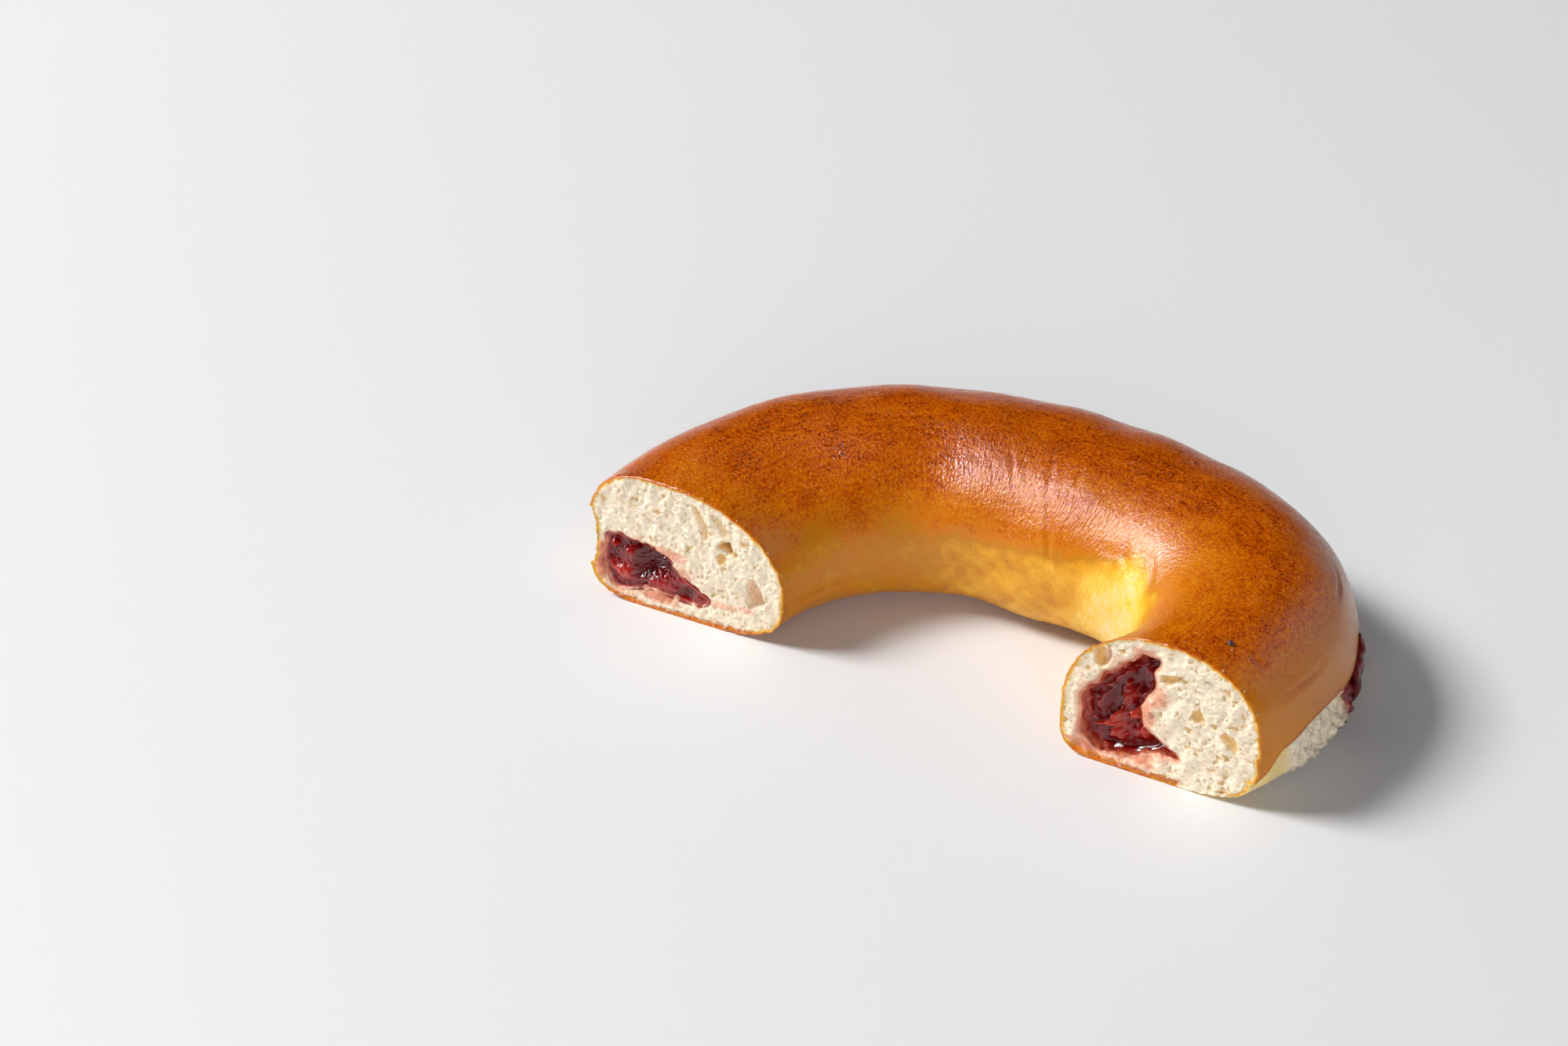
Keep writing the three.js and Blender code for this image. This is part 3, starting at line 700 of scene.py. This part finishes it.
class Tone:
    """A value, colour or direction in a material. Sums on values add Math nodes."""

    def __init__(self, socket):
        self.socket = socket

    def node(self, kind, settings, inputs, output=0):
        """Another node of this kind in the same material: its settings first, then its sockets."""
        tree = self.socket.id_data
        made = tree.nodes.new(kind)
        for name, value in settings.items():
            if name == "stops":
                ramp = made.color_ramp
                while len(ramp.elements) < len(value):
                    ramp.elements.new(0.5)
                for element, (place, colour) in zip(ramp.elements, value):
                    element.position = place
                    element.color = colour
            else:
                setattr(made, name, value)
        for name, value in inputs.items():
            if isinstance(value, Tone):
                tree.links.new(value.socket, made.inputs[name])
            else:
                made.inputs[name].default_value = value
        return Tone(made.outputs[output])

    def sum(self, operation, first, second):
        return self.node("ShaderNodeMath", {"operation": operation}, {0: first, 1: second})

    def __add__(self, other):
        return self.sum("ADD", self, other)

    def __radd__(self, other):
        return self.sum("ADD", other, self)

    def __sub__(self, other):
        return self.sum("SUBTRACT", self, other)

    def __rsub__(self, other):
        return self.sum("SUBTRACT", other, self)

    def __mul__(self, other):
        return self.sum("MULTIPLY", self, other)

    def __rmul__(self, other):
        return self.sum("MULTIPLY", other, self)

    def between(self, low, high):
        """0 below low, 1 above high, and an even curve between them."""
        settings = {"interpolation_type": "SMOOTHSTEP"}
        inputs = {"Value": self, "From Min": low, "From Max": high}
        return self.node("ShaderNodeMapRange", settings, inputs)

    def mix(self, without, full):
        """One colour where this is 0, and another where it is 1."""
        settings = {"data_type": "RGBA"}
        return self.node("ShaderNodeMix", settings, {0: self, 6: without, 7: full}, 2)

    def noise(self, size, detail=3.0, rough=0.55):
        """Random values through space, with humps of this size in millimetres."""
        inputs = {"Vector": self, "Scale": 1 / (size * MM), "Detail": detail, "Roughness": rough}
        return self.node("ShaderNodeTexNoise", {}, inputs)

    def cells(self, size):
        """Distance from the middles of cells of this size in millimetres."""
        return self.node("ShaderNodeTexVoronoi", {}, {"Vector": self, "Scale": 1 / (size * MM)})

    def marked(self, name):
        """A mark that the mesh carries at its points."""
        return self.node("ShaderNodeAttribute", {"attribute_name": name}, {}, "Fac")

    def bump(self, height):
        """Fine relief: this value as a height of so many millimetres."""
        inputs = {"Height": self, "Distance": height * MM, "Strength": 1.0}
        return self.node("ShaderNodeBump", {}, inputs)


def finish_for(piece, name, **values):
    """A new material on a piece, with its even values; gives its shader and its places."""
    material = bpy.data.materials.new(name)
    material.use_nodes = True
    shader = material.node_tree.nodes["Principled BSDF"]
    for socket, value in values.items():
        shader.inputs[socket.replace("_", " ")].default_value = value
    piece.data.materials.append(material)
    place = Tone(material.node_tree.nodes.new("ShaderNodeTexCoord").outputs["Object"])
    return shader, place


def feed(shader, **tones):
    for socket, tone in tones.items():
        shader.id_data.links.new(tone.socket, shader.inputs[socket.replace("_", " ")])


shader, place = finish_for(
    loaf,
    "baked_dough",
    Subsurface_Weight=0.22,
    Subsurface_Radius=(1.0, 0.5, 0.22),
    Subsurface_Scale=1.8 * MM,
    Specular_IOR_Level=0.5,
)
bake_and_light_mark = place.marked("bake")
stain = place.marked("stain")
pore = place.marked("pore")
lie = place.node("ShaderNodeAttribute", {"attribute_name": "lie"}, {}, "Vector")
fleck = place.noise(0.85, 4, 0.65).between(0.27, 0.75)
along = lie.node("ShaderNodeMapping", {}, {"Vector": lie, "Scale": (0.22, 1.0, 1.0)})
streaks = along.noise(1.8, 3, 0.6)
across = lie.node("ShaderNodeMapping", {}, {"Vector": lie, "Scale": (1.0, 0.22, 1.0)})
creping = across.noise(0.85, 3, 0.6)
browner = bake_and_light_mark.between(0.38, 0.66)
pale = bake_and_light_mark.between(0.3, 0.12)
level = bake_and_light_mark + (fleck - 0.5) * (browner * 0.33 + 0.05) + (streaks - 0.5) * browner * 0.36
level = level + (creping - 0.5) * pale * 0.3
crust_colour = level.node(
    "ShaderNodeValToRGB",
    {"stops": [
        (0.0, paint(250, 228, 180)),
        (0.14, paint(252, 208, 80)),
        (0.24, paint(232, 170, 30)),
        (0.34, paint(202, 130, 8)),
        (0.5, paint(212, 122, 4)),
        (0.66, paint(200, 100, 0)),
        (0.84, paint(176, 72, 0)),
        (1.0, paint(112, 36, 0)),
    ]},
    {"Fac": level},
)
# Tiny golden specks painted on the brown: painted glints of light. They also stand a little proud in
# the relief.
painted_glints = place.noise(0.5, 2).between(0.6, 0.74) * place.noise(9, 3).between(0.3, 0.6) * browner
crust_colour = (painted_glints * 0.5).mix(crust_colour, paint(238, 178, 72))
foam = place.cells(1.3).between(0.6, 0.08) * place.noise(2.6, 3).between(0.34, 0.6)
fine_foam = place.cells(0.65).between(0.6, 0.1)
# Painted shade: the crumb is darker and warmer where pores and foam cells sink in.
painted_pore_shade = pore * 0.7 + foam * 0.55 + fine_foam * 0.18
crumb_colour = painted_pore_shade.between(0.05, 1.1).mix(paint(249, 232, 206), paint(216, 174, 104))
# Crumb that toasted at the burst, and painted shade in the larger pits.
pit_shade_and_toast = place.marked("brown")
crumb_colour = pit_shade_and_toast.between(0.0, 0.5).mix(crumb_colour, paint(236, 192, 124))
crumb_colour = pit_shade_and_toast.between(0.5, 1.0).mix(crumb_colour, paint(160, 98, 28))
soaked = stain + (place.noise(2.4, 3) - 0.5) * 0.2 * stain.between(0.02, 0.3)
crumb_colour = soaked.between(0.0, 0.14).mix(
    crumb_colour,
    soaked.node(
        "ShaderNodeValToRGB",
        {"stops": [
            (0.0, paint(252, 236, 210)),
            (0.2, paint(250, 214, 184)),
            (0.42, paint(236, 170, 140)),
            (0.6, paint(196, 98, 66)),
            (0.8, paint(146, 30, 22)),
            (1.0, paint(104, 8, 10)),
        ]},
        {"Fac": soaked},
    ),
)
crumb = place.marked("crumb")
is_crumb = (crumb + (place.noise(0.5, 3) - 0.5) * 0.5).between(0.05, 0.85)
colour = is_crumb.mix(crust_colour, crumb_colour)
skin_relief = place.noise(0.8, 2) * 0.4 + place.noise(3, 2) * 0.12 + painted_glints * 0.12
skin_relief = skin_relief + creping * place.marked("wrinkle") * 0.8
crumb_relief = 0.7 - foam * 0.6 - fine_foam * 0.16 + place.noise(1.1, 4) * 0.5
wet = soaked.between(0.32, 0.5)
feed(
    shader,
    Base_Color=colour,
    Roughness=is_crumb * 0.65 + 0.19 - wet * 0.7,
    Normal=((1 - is_crumb) * skin_relief + is_crumb * crumb_relief * (1 - wet * 0.85)).bump(0.6),
)
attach(loaf, "root")
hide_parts("bread")

# ---- The jam: cooked red fruit, thick and glossy, baked in as a rope through the hollow. It sticks
# to the crumb all round, almost flush at the left cut and slumped back at the right one.
JAM_BACK_FLOOR, JAM_BACK_ROOF, JAM_BACK_LEFT = 4.5, 13, 0.6  # how far it starts behind each cut
HOLLOW_FLOOR, HOLLOW_RISE = 4, 33
JAM_SUNK = 0.9  # how far the jam reaches into the crumb all round
JAM_RINGS, SLUMPED_RINGS = 70, 8
JAM_GRAIN = 0.3
# Drops that stand forward on the jam's cut ends and catch the light: (out, up, forward, half
# width, half height).
DROPS_RIGHT = (
    (-9.2, 19.5, 2.4, 1.9, 7.5), (-13.6, 16.5, 1.4, 1.7, 6.5), (-6, 24, 1.8, 1.4, 4.5),
    (-14.4, 7.8, 2.8, 1.8, 1.4), (-14.6, 12.3, 4.4, 1.2, 2.1), (-18.3, 10.4, 4.3, 1.1, 1.1),
    (-8.4, 16.5, 4.6, 1.3, 1.9), (-6.4, 11, 2.6, 1.5, 2.2), (-1.5, 10.2, 2.4, 1.6, 1.3),
)
DROPS_LEFT = (
    (2.8, 9.8, 0.6, 2.8, 1.8), (4.6, 12.6, 0.7, 0.8, 0.7), (1.2, 12.1, 0.7, 0.9, 0.7),
    (3.4, 8.2, 0.6, 1.0, 0.8), (14.2, 18.2, 2.2, 1.4, 1.2), (-5, 8.2, 0.8, 2.4, 1.0),
    (10.4, 9.6, 1.0, 4.2, 3.2),
)


def slumped(up):
    """How much further back than its floor the jam lies at a height, as a turn."""
    share = np.clip((up - HOLLOW_FLOOR) / HOLLOW_RISE, 0, 1)
    return share * (JAM_BACK_ROOF - JAM_BACK_FLOOR) / RIGHT_RADIUS


jam_start, jam_end = JAM_BACK_FLOOR / RIGHT_RADIUS, math.pi - JAM_BACK_LEFT / LEFT_RADIUS
jam_rings = []
for i in range(JAM_RINGS + 1):
    turn = jam_start + (jam_end - jam_start) * i / JAM_RINGS
    out, up = hollow_outline(turn, JAM_SUNK)
    back = float(smooth(1 - i / SLUMPED_RINGS, 0, 1)) * slumped(up)
    jam_rings.append(placed(turn + back, out, up) + CENTRE)
jam_rings = np.stack(jam_rings)
jam_vertices = [jam_rings.reshape(-1, 3)]
thin_and_lit_values = [np.full(jam_rings.size // 3, 0.3)]
jam_faces = grid_faces(0, len(jam_rings), HOLLOW_POINTS)
total = jam_rings.size // 3
for row, turn, drops, lying, seed in (
    (0, jam_start, DROPS_RIGHT, 0.9, 80),
    (-1, jam_end, DROPS_LEFT, 0.55, 81),
):
    out, up = hollow_outline(turn, JAM_SUNK)
    loop = np.stack([out, up], -1)
    low, high = loop.min(0), loop.max(0)
    grid = np.stack(np.meshgrid(
        np.arange(low[0], high[0], JAM_GRAIN), np.arange(low[1], high[1], JAM_GRAIN * 0.9),
    ), -1)
    grid[::2, :, 0] += JAM_GRAIN / 2
    points = grid.reshape(-1, 2)
    points = points[within(points, loop)]
    points = points[gap_to(points, loop) > JAM_GRAIN * 2 / 3]
    triangles = joined(points, [loop])
    gap = gap_to(points, loop) - 0.7 * JAM_SUNK
    inward = lying + 0.4 * mottle(points, 8, seed) + 0.05 * mottle(points, 2.6, seed + 3)
    bent = points + 0.3 * np.stack([mottle(points, 2.6, seed + k) for k in (5, 6)], -1)
    for x, z, forward, wide, tall in drops:
        share = (((bent - (x, z)) / (wide, tall)) ** 2).sum(-1)
        inward -= forward * np.exp(-share)
    if row:
        # The left end breaks back in a ledge that faces up to the window.
        rise = points[:, 1] + 0.46 * (points[:, 0] - 2.8) + 0.3 * mottle(points, 1.7, 83)
        inward += 2.9 * smooth(rise, 9.9, 12.6) * near(points[:, 0], 2.8, 7, 2.4)
        inward += 0.08 * mottle(points, 1.3, 84)
    # Painted light and shade: the jam is coloured lighter where it stands forward and darker where it
    # lies back. Near its edge it is lighter too, where it thins to a film.
    thin = smooth(inward, 1.6, -1.2)
    inward = inward * smooth(gap, 0, 1.6) + (0.5 * smooth(gap, 2.2, 0) if row else 0)
    if row:
        at = turn - inward / LEFT_RADIUS
    else:
        at = turn + slumped(points[:, 1]) + inward / RIGHT_RADIUS
    jam_vertices.append(placed(at, points[:, 0], points[:, 1]) + CENTRE)
    thin_and_lit_values.append(np.maximum(thin, 1.1 * smooth(gap, 1.5, 0)))
    ring = 0 if row == 0 else (len(jam_rings) - 1) * HOLLOW_POINTS
    index = np.concatenate([ring + np.arange(HOLLOW_POINTS), total + np.arange(len(points))])
    jam_faces += index[triangles].tolist()
    total += len(points)
jam = mesh_of("jam_rope", np.vstack(jam_vertices), jam_faces)
mark(jam, "thin", np.concatenate(thin_and_lit_values))
shader, place = finish_for(
    jam,
    "red_jam",
    Subsurface_Weight=0.5,
    Subsurface_Radius=(1.0, 0.12, 0.07),
    Subsurface_Scale=4 * MM,
    Specular_IOR_Level=0.85,
    IOR=1.42,
)
pulp = place.noise(3, 3)
# Lighter red where the jam thins to a film, and painted light where it stands forward; painted shade
# where it lies back.
thin = place.marked("thin") * 0.75 + (pulp - 0.5) * 0.5 + 0.08
jam_colour = thin.node(
    "ShaderNodeValToRGB",
    {"stops": [
        (0.0, paint(88, 5, 9)),
        (0.35, paint(122, 11, 13)),
        (0.7, paint(158, 28, 22)),
        (1.0, paint(196, 80, 62)),
    ]},
    {"Fac": thin},
)
feed(
    shader,
    Base_Color=jam_colour,
    Roughness=place.noise(2.0, 3) * 0.1 + 0.04,
    Normal=(place.noise(2.6, 2) * 0.3).bump(0.5),
)
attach(jam, "root")
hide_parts("jam_filling")

# ---- The leaked jam: it boiled out through the burst in the oven, into a blob under the crust's lip
# and a run below it, and dried darker than the filling. It hangs on to the rope by a hidden neck.
LEAKS = (  # turn in degrees, out, up, half sizes (outward, along the ring, upward)
    (31, 14, 17, (17.5, 6.5, 5.5)),
    (33, 29.6, 20.6, (2.2, 3.6, 3.4)),
    (29, 30.6, 12.6, (1.5, 2.4, 6.2)),
    (30.5, 30.4, 16.5, (1.8, 2.8, 4.0)),
)
LEAK_GRAIN = 0.4


def ball(body, turn, out, up, half_sizes):
    """An egg shape at a place of the loaf."""
    turn = math.radians(turn)
    centre = placed(turn, out, up) + CENTRE
    made = bmesh.ops.create_icosphere(body, subdivisions=5, radius=1.0)["verts"]
    for vertex in made:
        spread = np.array(vertex.co) * half_sizes
        x = spread[0] * math.cos(turn) - spread[1] * math.sin(turn)
        y = spread[0] * math.sin(turn) + spread[1] * math.cos(turn)
        vertex.co = Vector(centre + (x, y, spread[2])) * MM


leak_mesh = bpy.data.meshes.new("leaked_jam")
body = bmesh.new()
for leak in LEAKS:
    ball(body, *leak)
body.to_mesh(leak_mesh)
body.free()
leaked = shown("leaked_jam", leak_mesh)
fuse = leaked.modifiers.new("fuse", "REMESH")
fuse.mode, fuse.voxel_size = "VOXEL", LEAK_GRAIN * MM
soften = leaked.modifiers.new("soften", "SMOOTH")
soften.factor, soften.iterations = 0.5, 12
fused = bpy.data.meshes.new_from_object(leaked.evaluated_get(bpy.context.evaluated_depsgraph_get()))
leaked.modifiers.clear()
leaked.data = fused
co = np.empty(len(fused.vertices) * 3)
fused.vertices.foreach_get("co", co)
co = co.reshape(-1, 3)
turned_out = np.empty_like(co).ravel()
fused.vertices.foreach_get("normal", turned_out)
swell = 0.25 * mottle(co / MM, 7, 91)
co += turned_out.reshape(-1, 3) * swell[:, None] * MM
fused.vertices.foreach_set("co", co.ravel())
fused.shade_smooth()
leaked.data.materials.clear()
shader, place = finish_for(
    leaked,
    "dried_jam",
    Subsurface_Weight=0.25,
    Subsurface_Radius=(1.0, 0.15, 0.1),
    Subsurface_Scale=1.5 * MM,
    Specular_IOR_Level=0.5,
)
feed(
    shader,
    Base_Color=place.noise(4, 3).between(0.35, 0.65).mix(paint(62, 14, 12), paint(118, 34, 34)),
    Roughness=place.noise(2.0, 3) * 0.15 + 0.08,
    Normal=(place.noise(2.6, 2) * 0.3).bump(0.4),
)
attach(leaked, "root")
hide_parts("jam_filling")

# ---- A seed that was baked on, scorched specks of dough, and golden flakes of crust that the knife
# broke loose. All of them sit on the loaf's own skin.
def chips(name, places, seed):
    """Small uneven lumps on the crust: (turn, angle, how far sunk, half width, half thickness)."""
    draw = np.random.default_rng(seed)
    body = bmesh.new()
    for turn, angle, sunk, wide, thick in places:
        i, j = on_skin(turn, angle)
        out = outward[i, j]
        at = skin[i, j] - out * sunk
        made = bmesh.ops.create_icosphere(body, subdivisions=3, radius=1.0)["verts"]
        shape = np.array([vertex.co for vertex in made])
        shape *= (1 + 0.16 * mottle(shape, 1.6, int(draw.integers(1000))))[:, None]
        side = np.cross(out, (0.3, 0.5, 0.8))
        side /= np.linalg.norm(side)
        turn = draw.uniform(0, math.tau)
        third = np.cross(out, side)
        long = side * math.cos(turn) + third * math.sin(turn)
        short = third * math.cos(turn) - side * math.sin(turn)
        for vertex, (a, b, c) in zip(made, shape * (wide, wide * 0.75, thick)):
            vertex.co = Vector((at + long * a + short * b + out * c) * MM)
    mesh = bpy.data.meshes.new(name)
    body.to_mesh(mesh)
    body.free()
    mesh.shade_smooth()
    return shown(name, mesh)


seed_speck = chips("seed", [(8, 106, -0.25, 0.85, 0.65)], 1)
shader, place = finish_for(seed_speck, "scorched", Roughness=0.35, Coat_Weight=0.4, Coat_Roughness=0.2)
scorch = place.noise(0.5, 3)
feed(
    shader,
    Base_Color=scorch.between(0.35, 0.65).mix(paint(30, 24, 30), paint(74, 58, 58)),
    Normal=scorch.bump(0.1),
)
specks = chips("specks", [
    (117.5, -18, 0.1, 0.45, 0.22), (100, -30, 0.1, 0.4, 0.2), (96, 8, 0.12, 0.32, 0.2),
    (133, -24, 0.1, 0.3, 0.18), (24, 96, 0.1, 0.3, 0.2),
], 2)
specks.data.materials.append(seed_speck.data.materials[0])
flakes = chips("flakes", [
    (0.6, 152, 0.1, 0.5, 0.3), (0.5, 120, 0.1, 0.35, 0.25), (179.5, 30, 0.1, 0.45, 0.3),
    (179.6, 52, 0.1, 0.35, 0.25), (0.5, 30, 0.1, 0.35, 0.25), (0.5, 136, 0.1, 0.3, 0.22),
    (179.5, 88, 0.1, 0.3, 0.2), (179.5, 70, 0.1, 0.25, 0.2),
], 3)
shader, place = finish_for(
    flakes, "loose_flake", Roughness=0.6, Subsurface_Weight=0.2, Subsurface_Scale=1 * MM
)
feed(
    shader,
    Base_Color=place.noise(0.8, 3).between(0.35, 0.65).mix(paint(244, 206, 130), paint(214, 134, 40)),
    Normal=place.noise(0.4, 3).bump(0.1),
)
for piece in (seed_speck, specks, flakes):
    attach(piece, "root")

# ---- Table, light and camera: a plain pale table, a soft window on the left and a room opposite,
# cards that only gloss shows, and the camera at the photograph's angle.
table = bpy.data.meshes.new("table_top")
table.from_pydata([(-3, -3, 0), (3, -3, 0), (3, 3, 0), (-3, 3, 0)], [], [(0, 1, 2, 3)])
floor = shown("table_top", table)
finish_for(floor, "pale_stone", Roughness=0.6, Base_Color=(0.775, 0.785, 0.805, 1))

world = bpy.data.worlds.new("room")
bpy.context.scene.world = world
world.use_nodes = True
world.node_tree.nodes["Background"].inputs["Color"].default_value = (0.92, 0.95, 1, 1)
world.node_tree.nodes["Background"].inputs["Strength"].default_value = 0.1
world.cycles_visibility.glossy = False


def lamp(name, towards, distance, wide, tall, watts, colour, gloss_only=False):
    """A soft card of light; it either lights the surfaces or only shows in their gloss."""
    light = bpy.data.lights.new(name, "AREA")
    light.shape = "RECTANGLE"
    light.size, light.size_y = wide, tall
    light.energy = watts
    light.color = colour
    holder = shown(name, light)
    direction = Vector(towards).normalized()
    holder.location = direction * distance
    holder.rotation_mode = "QUATERNION"
    holder.rotation_quaternion = direction.to_track_quat("Z", "Y")
    holder.visible_glossy, holder.visible_diffuse = gloss_only, not gloss_only


WARM = (1, 0.99, 0.975)
lamp("window", (-0.68, -0.25, 0.69), 5.0, 1.5, 1.5, 280, WARM)
lamp("window_sheen", (-0.66, -0.26, 0.7), 5.0, 4.5, 3.8, 480, (1, 1, 1), gloss_only=True)
lamp("window_pane", (-0.55, -0.25, 0.8), 4.8, 1.2, 1.2, 215, (1, 1, 1), gloss_only=True)
lamp("room_side", (0.42, -0.84, 0.35), 5.0, 4.2, 2.6, 104, WARM)
lamp("far_wall", (0.7, 0.6, 0.4), 2.5, 2.6, 1.6, 11, (0.95, 0.97, 1), gloss_only=True)

FOCAL, SENSOR = 57.557, 36
ELEVATION, AZIMUTH, ROLL = math.radians(34.773), math.radians(30.207), math.radians(0.295)
CAMERA_AT = (229.730, -518.882, 418.958)
back = Vector((
    math.sin(AZIMUTH) * math.cos(ELEVATION),
    -math.cos(AZIMUTH) * math.cos(ELEVATION),
    math.sin(ELEVATION),
))
right = Vector((math.cos(AZIMUTH), math.sin(AZIMUTH), 0))
above = back.cross(right)
tilted_right = right * math.cos(ROLL) + above * math.sin(ROLL)
tilted_above = above * math.cos(ROLL) - right * math.sin(ROLL)
lens = bpy.data.cameras.new("camera")
lens.lens, lens.sensor_width = FOCAL, SENSOR
lens.clip_start, lens.clip_end = 0.01, 20
camera = shown("camera", lens)
turned = Matrix((tilted_right, tilted_above, back)).transposed().to_4x4()
camera.matrix_world = Matrix.Translation(Vector(CAMERA_AT) * MM) @ turned
bpy.context.scene.camera = camera
bpy.context.scene.view_settings.view_transform = "Standard"
